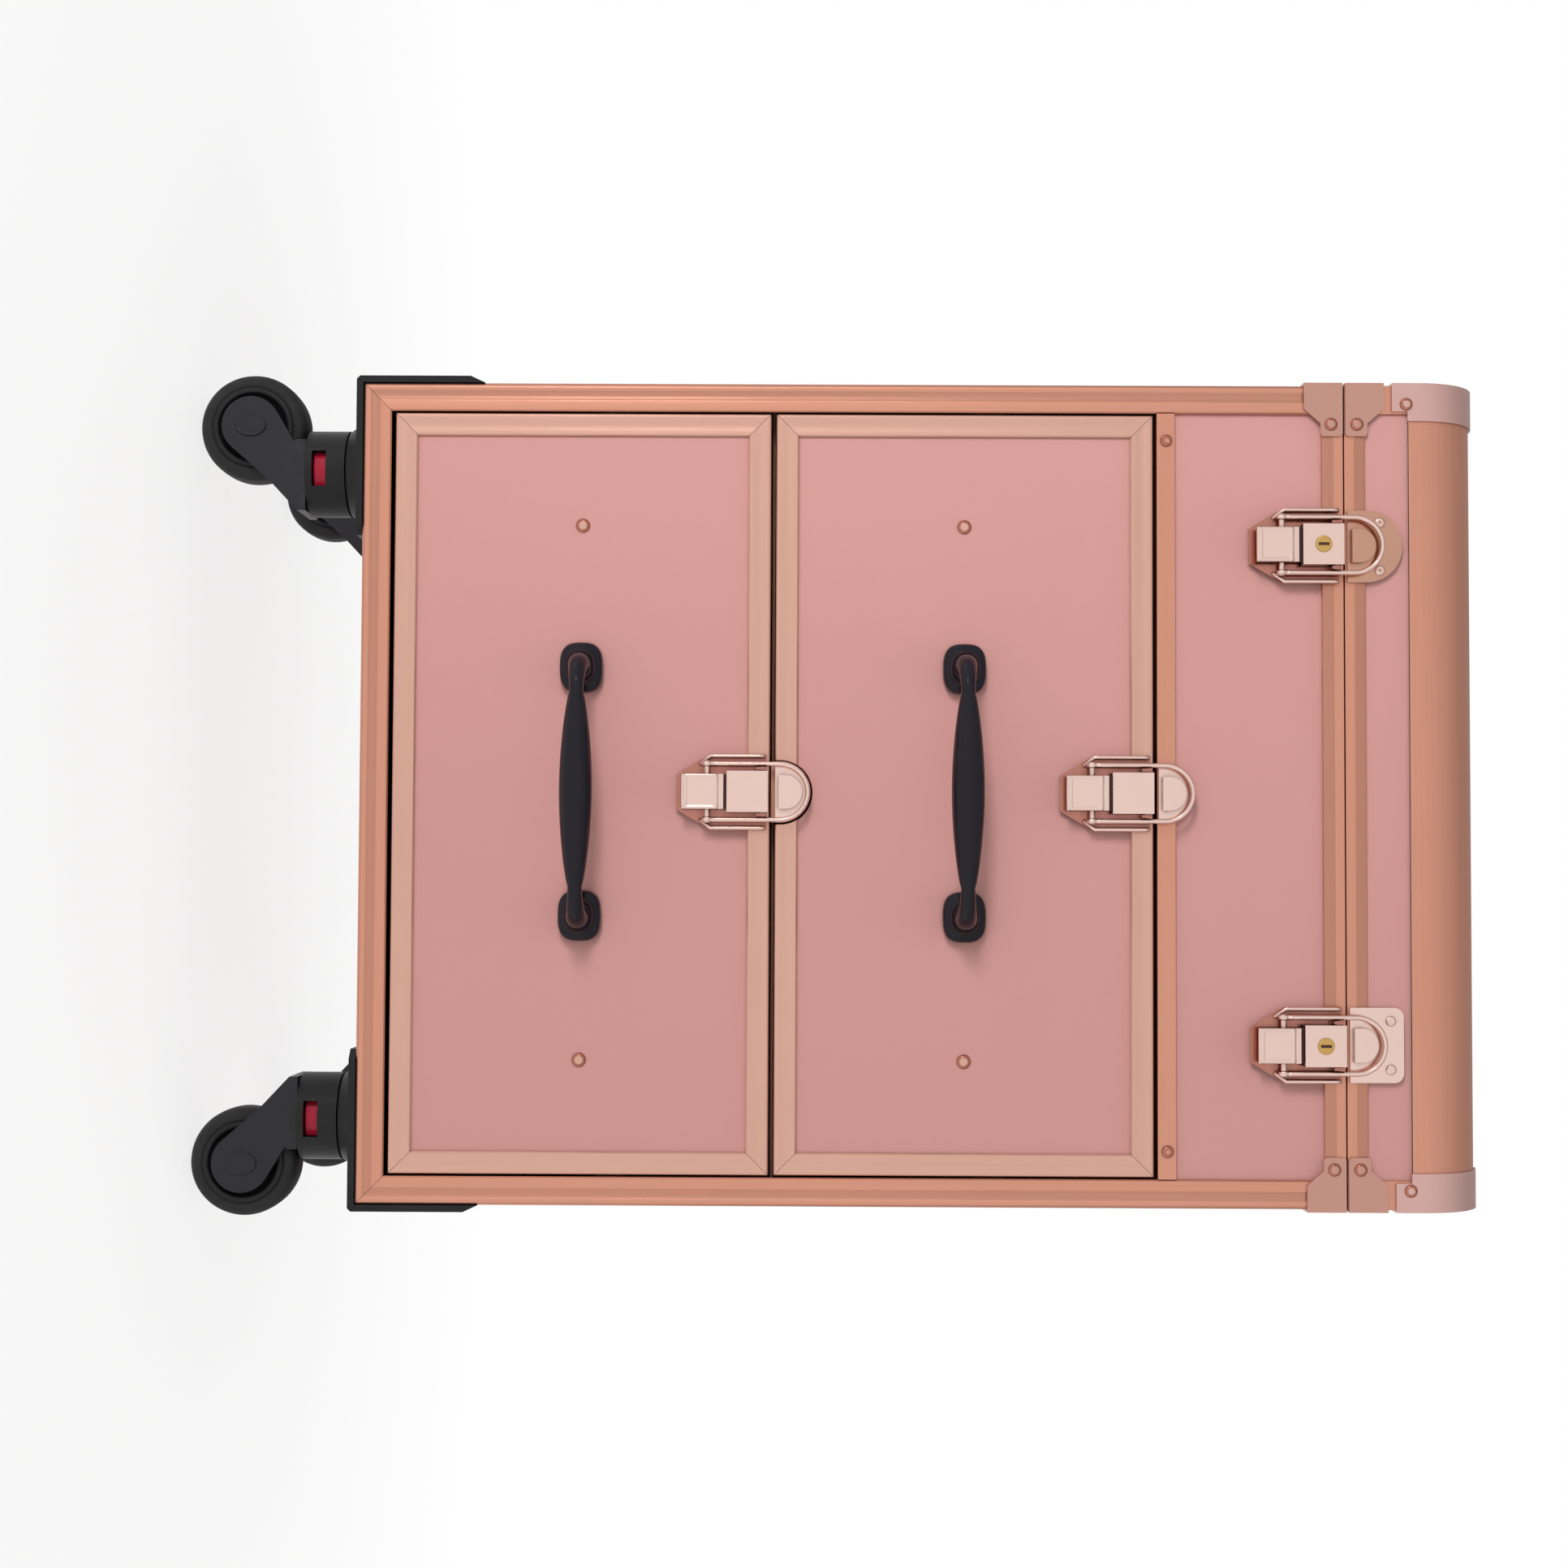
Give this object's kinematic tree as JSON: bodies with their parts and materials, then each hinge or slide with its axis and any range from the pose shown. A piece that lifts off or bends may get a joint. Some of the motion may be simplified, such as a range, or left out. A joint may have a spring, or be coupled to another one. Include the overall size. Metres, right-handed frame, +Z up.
{
  "type": "rolling makeup case",
  "caption": "Upright rolling case with latched drawers, a hinged lid over a top compartment, a telescopic trolley handle and swivel casters that pull off.",
  "frame": {"origin": "on the floor under the middle of the bounding box, casters on, everything closed", "axes": "+Z up, drawers open toward -Y, +X to the right of someone facing the drawers"},
  "size_m": [0.3594, 0.289, 0.5441],
  "materials": {
    "laminate": "satin embossed laminate on plywood",
    "rose_profile": "satin anodised rose gold",
    "frame_profile": "satin anodised pale rose gold",
    "latch_metal": "polished rose gold plating",
    "black_plastic": "moulded black",
    "black_pull": "glossy black",
    "tyre": "matt black",
    "button_red": "moulded red",
    "lock_brass": "turned",
    "inner_board": "lined plywood",
    "sheet_steel": "zinc plated",
    "tube_aluminium": "anodised",
    "black_grip": "moulded black, matt"
  },
  "bodies": {
    "carcass": {"side_panels": "laminate", "back_panel": "laminate", "base_panel": "laminate", "compartment_front_panel": "laminate", "compartment_floor": "inner_board", "drawer_divider": "sheet_steel", "front_frame": "rose_profile", "edge_profiles": "rose_profile", "carcass_corner_brackets": "rose_profile", "corner_protectors": "black_plastic", "drawer_rails": "inner_board", "hinge_carcass_leaves": "sheet_steel", "trolley_outer_tubes": "tube_aluminium", "lid_latch_bases": "latch_metal", "drawer_strikes": "latch_metal"},
    "lid": {"lid_panels": "laminate", "lid_profiles": "rose_profile", "lid_corners": "rose_profile", "hinge_lid_leaves": "sheet_steel", "lid_strikes": "latch_metal"},
    "trolley_middle": {"trolley_middle_tubes": "tube_aluminium"},
    "trolley_inner": {"trolley_inner_tubes": "tube_aluminium", "trolley_grip": "black_grip"},
    "trolley_push": {"trolley_button": "black_grip"},
    "lower_drawer": {"lower_drawer_box": "inner_board", "lower_drawer_panel": "laminate", "lower_drawer_frame": "frame_profile", "lower_drawer_pull": "black_pull", "lower_latch_base": "latch_metal"},
    "upper_drawer": {"upper_drawer_box": "inner_board", "upper_drawer_panel": "laminate", "upper_drawer_frame": "frame_profile", "upper_drawer_pull": "black_pull", "upper_latch_base": "latch_metal"},
    "lower_latch_lever": {"lower_latch_lever": "latch_metal"},
    "lower_latch_loop": {"lower_latch_loop": "latch_metal"},
    "upper_latch_lever": {"upper_latch_lever": "latch_metal"},
    "upper_latch_loop": {"upper_latch_loop": "latch_metal"},
    "left_lid_latch_lever": {"left_lid_latch_lever": "latch_metal"},
    "left_lid_latch_loop": {"left_lid_latch_loop": "latch_metal"},
    "right_lid_latch_lever": {"right_lid_latch_lever": "latch_metal"},
    "right_lid_latch_loop": {"right_lid_latch_loop": "latch_metal"},
    "left_lock": {"left_lock_core": "lock_brass"},
    "right_lock": {"right_lock_core": "lock_brass"},
    "front_left_sleeve": {"front_left_sleeve": "black_plastic"},
    "front_left_fork": {"front_left_fork": "black_plastic"},
    "front_left_wheel": {"front_left_wheel": "tyre"},
    "front_left_button": {"front_left_button": "button_red"},
    "front_right_sleeve": {"front_right_sleeve": "black_plastic"},
    "front_right_fork": {"front_right_fork": "black_plastic"},
    "front_right_wheel": {"front_right_wheel": "tyre"},
    "front_right_button": {"front_right_button": "button_red"},
    "rear_left_sleeve": {"rear_left_sleeve": "black_plastic"},
    "rear_left_fork": {"rear_left_fork": "black_plastic"},
    "rear_left_wheel": {"rear_left_wheel": "tyre"},
    "rear_left_button": {"rear_left_button": "button_red"},
    "rear_right_sleeve": {"rear_right_sleeve": "black_plastic"},
    "rear_right_fork": {"rear_right_fork": "black_plastic"},
    "rear_right_wheel": {"rear_right_wheel": "tyre"},
    "rear_right_button": {"rear_right_button": "button_red"}
  },
  "joints": [
    {"name": "lid_hinge", "type": "hinge", "parent": "carcass", "child": "lid", "pos_m": [0, 0.1294, 0.4846], "axis": [1, 0, 0], "range_deg": [-100, 0]},
    {"name": "lower_drawer_slide", "type": "slide", "parent": "carcass", "child": "lower_drawer", "axis": [0, -1, 0], "range_m": [0, 0.155]},
    {"name": "upper_drawer_slide", "type": "slide", "parent": "carcass", "child": "upper_drawer", "axis": [0, -1, 0], "range_m": [0, 0.155]},
    {"name": "lower_latch_lift", "type": "hinge", "parent": "lower_drawer", "child": "lower_latch_lever", "pos_m": [0, -0.1188, 0.2427], "axis": [-1, 0, 0], "range_deg": [0, 100]},
    {"name": "lower_latch_swing", "type": "hinge", "parent": "lower_latch_lever", "child": "lower_latch_loop", "pos_m": [0, -0.1188, 0.2197], "axis": [-1, 0, 0], "range_deg": [-145, 0]},
    {"name": "upper_latch_lift", "type": "hinge", "parent": "upper_drawer", "child": "upper_latch_lever", "pos_m": [0, -0.1188, 0.40185], "axis": [-1, 0, 0], "range_deg": [0, 100]},
    {"name": "upper_latch_swing", "type": "hinge", "parent": "upper_latch_lever", "child": "upper_latch_loop", "pos_m": [0, -0.1188, 0.37885], "axis": [-1, 0, 0], "range_deg": [-145, 0]},
    {"name": "left_lid_latch_lift", "type": "hinge", "parent": "carcass", "child": "left_lid_latch_lever", "pos_m": [-0.1035, -0.1188, 0.4806], "axis": [-1, 0, 0], "range_deg": [0, 100]},
    {"name": "left_lid_latch_swing", "type": "hinge", "parent": "left_lid_latch_lever", "child": "left_lid_latch_loop", "pos_m": [-0.1035, -0.1188, 0.4576], "axis": [-1, 0, 0], "range_deg": [-145, 0]},
    {"name": "right_lid_latch_lift", "type": "hinge", "parent": "carcass", "child": "right_lid_latch_lever", "pos_m": [0.1035, -0.1188, 0.4806], "axis": [-1, 0, 0], "range_deg": [0, 100]},
    {"name": "right_lid_latch_swing", "type": "hinge", "parent": "right_lid_latch_lever", "child": "right_lid_latch_loop", "pos_m": [0.1035, -0.1188, 0.4576], "axis": [-1, 0, 0], "range_deg": [-145, 0]},
    {"name": "left_lock_turn", "type": "hinge", "parent": "left_lid_latch_lever", "child": "left_lock", "pos_m": [-0.1035, -0.121, 0.4743], "axis": [0, -1, 0], "range_deg": [0, 90]},
    {"name": "right_lock_turn", "type": "hinge", "parent": "right_lid_latch_lever", "child": "right_lock", "pos_m": [0.1035, -0.121, 0.4743], "axis": [0, -1, 0], "range_deg": [0, 90]},
    {"name": "trolley_middle_slide", "type": "slide", "parent": "carcass", "child": "trolley_middle", "axis": [0, 0, 1], "range_m": [0, 0.25]},
    {"name": "trolley_inner_slide", "type": "slide", "parent": "trolley_middle", "child": "trolley_inner", "axis": [0, 0, 1], "range_m": [0, 0.25]},
    {"name": "trolley_button_press", "type": "slide", "parent": "trolley_inner", "child": "trolley_push", "axis": [0, 0, -1], "range_m": [0, 0.003], "stiffness_N_per_m": 400},
    {"name": "front_left_pull_off", "type": "slide", "parent": "carcass", "child": "front_left_sleeve", "axis": [0, 0, -1], "range_m": [0, 0.05]},
    {"name": "front_left_swivel", "type": "hinge", "parent": "front_left_sleeve", "child": "front_left_fork", "pos_m": [-0.13775, -0.0805, 0.044], "axis": [0, 0, 1], "continuous": true},
    {"name": "front_left_roll", "type": "hinge", "parent": "front_left_fork", "child": "front_left_wheel", "pos_m": [-0.15675, -0.0805, 0.023], "axis": [0, 1, 0], "continuous": true},
    {"name": "front_left_release", "type": "slide", "parent": "carcass", "child": "front_left_button", "axis": [0, 1, 0], "range_m": [0, 0.0025], "stiffness_N_per_m": 300},
    {"name": "front_right_pull_off", "type": "slide", "parent": "carcass", "child": "front_right_sleeve", "axis": [0, 0, -1], "range_m": [0, 0.05]},
    {"name": "front_right_swivel", "type": "hinge", "parent": "front_right_sleeve", "child": "front_right_fork", "pos_m": [0.13775, -0.0805, 0.044], "axis": [0, 0, 1], "continuous": true},
    {"name": "front_right_roll", "type": "hinge", "parent": "front_right_fork", "child": "front_right_wheel", "pos_m": [0.15675, -0.0805, 0.023], "axis": [0, 1, 0], "continuous": true},
    {"name": "front_right_release", "type": "slide", "parent": "carcass", "child": "front_right_button", "axis": [0, 1, 0], "range_m": [0, 0.0025], "stiffness_N_per_m": 300},
    {"name": "rear_left_pull_off", "type": "slide", "parent": "carcass", "child": "rear_left_sleeve", "axis": [0, 0, -1], "range_m": [0, 0.05]},
    {"name": "rear_left_swivel", "type": "hinge", "parent": "rear_left_sleeve", "child": "rear_left_fork", "pos_m": [-0.13775, 0.0925, 0.044], "axis": [0, 0, 1], "continuous": true},
    {"name": "rear_left_roll", "type": "hinge", "parent": "rear_left_fork", "child": "rear_left_wheel", "pos_m": [-0.15675, 0.0925, 0.023], "axis": [0, 1, 0], "continuous": true},
    {"name": "rear_left_release", "type": "slide", "parent": "carcass", "child": "rear_left_button", "axis": [0, -1, 0], "range_m": [0, 0.0025], "stiffness_N_per_m": 300},
    {"name": "rear_right_pull_off", "type": "slide", "parent": "carcass", "child": "rear_right_sleeve", "axis": [0, 0, -1], "range_m": [0, 0.05]},
    {"name": "rear_right_swivel", "type": "hinge", "parent": "rear_right_sleeve", "child": "rear_right_fork", "pos_m": [0.13775, 0.0925, 0.044], "axis": [0, 0, 1], "continuous": true},
    {"name": "rear_right_roll", "type": "hinge", "parent": "rear_right_fork", "child": "rear_right_wheel", "pos_m": [0.15675, 0.0925, 0.023], "axis": [0, 1, 0], "continuous": true},
    {"name": "rear_right_release", "type": "slide", "parent": "carcass", "child": "rear_right_button", "axis": [0, -1, 0], "range_m": [0, 0.0025], "stiffness_N_per_m": 300}
  ],
  "couplings": [
    {"joint": "lower_latch_swing", "follows": "lower_latch_lift", "ratio": -1.45},
    {"joint": "upper_latch_swing", "follows": "upper_latch_lift", "ratio": -1.45},
    {"joint": "left_lid_latch_swing", "follows": "left_lid_latch_lift", "ratio": -1.45},
    {"joint": "right_lid_latch_swing", "follows": "right_lid_latch_lift", "ratio": -1.45}
  ]
}
